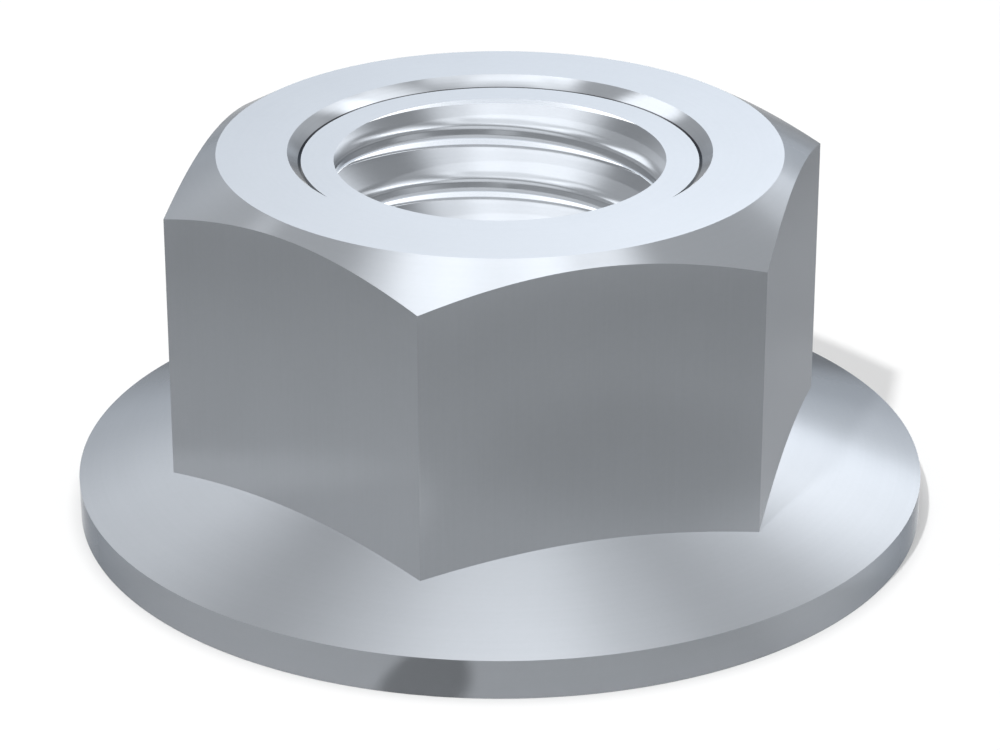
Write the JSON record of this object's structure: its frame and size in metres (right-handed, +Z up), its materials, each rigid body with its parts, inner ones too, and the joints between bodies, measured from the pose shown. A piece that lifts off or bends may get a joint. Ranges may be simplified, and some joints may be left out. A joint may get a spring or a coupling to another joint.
{
  "type": "serrated flange nut",
  "caption": "Hexagon nut with a fixed conical flange and a ring of ratchet teeth in its bearing face; it clamps without a washer and locks itself against turning back.",
  "frame": {"origin": "middle of the bearing face under the flange", "axes": "+Z up the thread's axis towards the round top face; two corners of the hexagon lie on the Y axis, so two of its flats face +X and -X"},
  "size_m": [0.0218, 0.0218, 0.0096],
  "materials": {
    "steel": "smooth bright zinc plated steel with a faint blue tint and sharp edges"
  },
  "bodies": {
    "root": {"flange_nut": "steel"}
  },
  "joints": []
}
